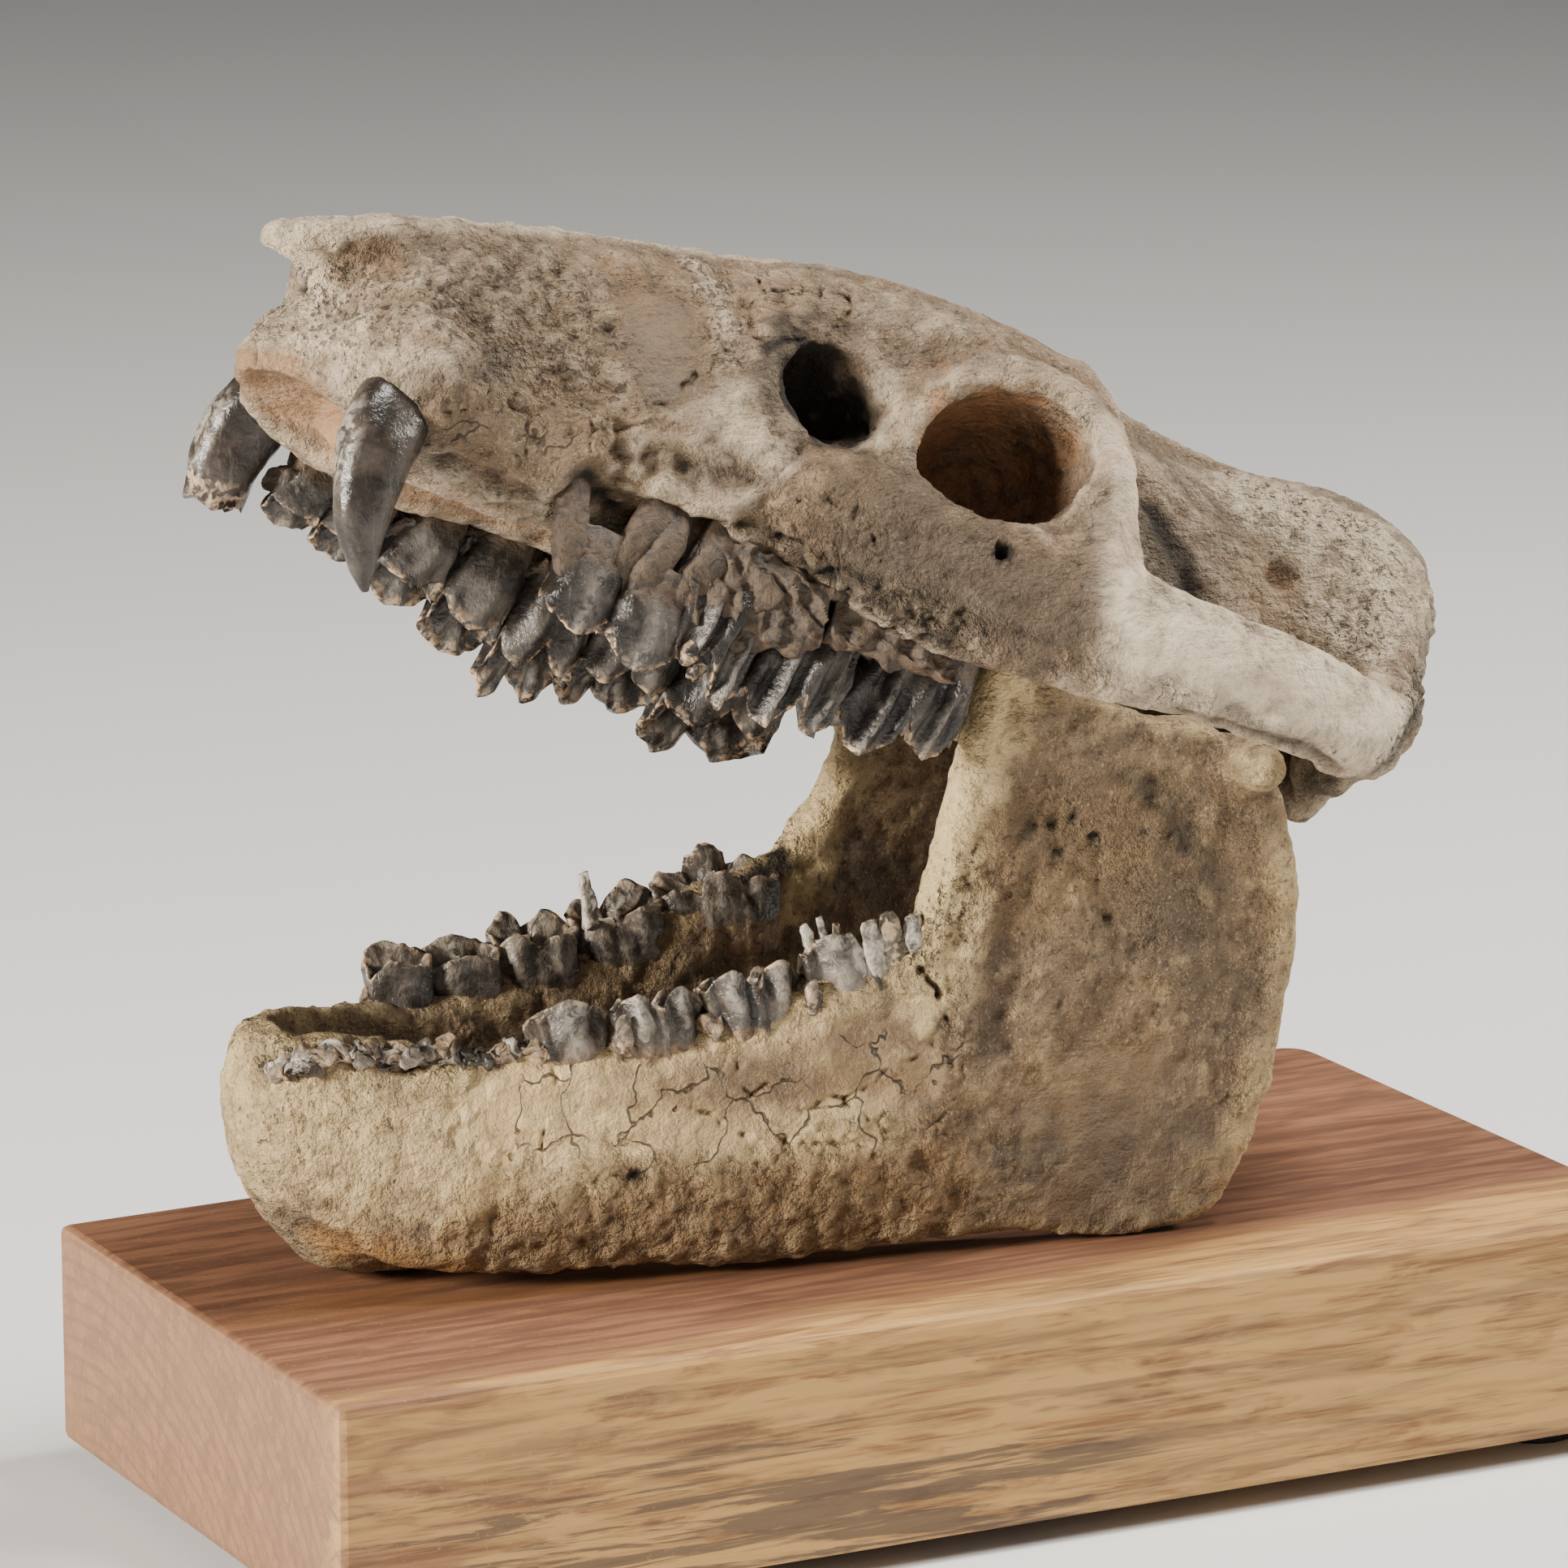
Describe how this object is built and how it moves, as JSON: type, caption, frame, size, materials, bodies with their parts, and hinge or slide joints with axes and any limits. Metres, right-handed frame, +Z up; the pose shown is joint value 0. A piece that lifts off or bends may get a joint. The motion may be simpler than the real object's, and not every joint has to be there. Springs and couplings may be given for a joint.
{
  "type": "fossil skull on a display block",
  "caption": "Fossil skull of an extinct hoofed plant-eater with its jaws gaping, resting on a hardwood block with round feet, for display.",
  "frame": {"origin": "centre of the whole object's box, on the plane that the feet stand on", "axes": "+X along the block from the snout's end to the back of the skull, +Y towards the animal's right side, +Z up"},
  "size_m": [0.223, 0.1142, 0.1977],
  "materials": {
    "cranium_bone": "matte",
    "mandible_bone": "matte",
    "wood": "oiled",
    "rubber": "matte"
  },
  "bodies": {
    "root": {"cranium": "cranium_bone", "mandible": "mandible_bone", "stand_block": "wood", "stand_foot_1": "rubber", "stand_foot_2": "rubber", "stand_foot_3": "rubber", "stand_foot_4": "rubber"}
  },
  "joints": []
}
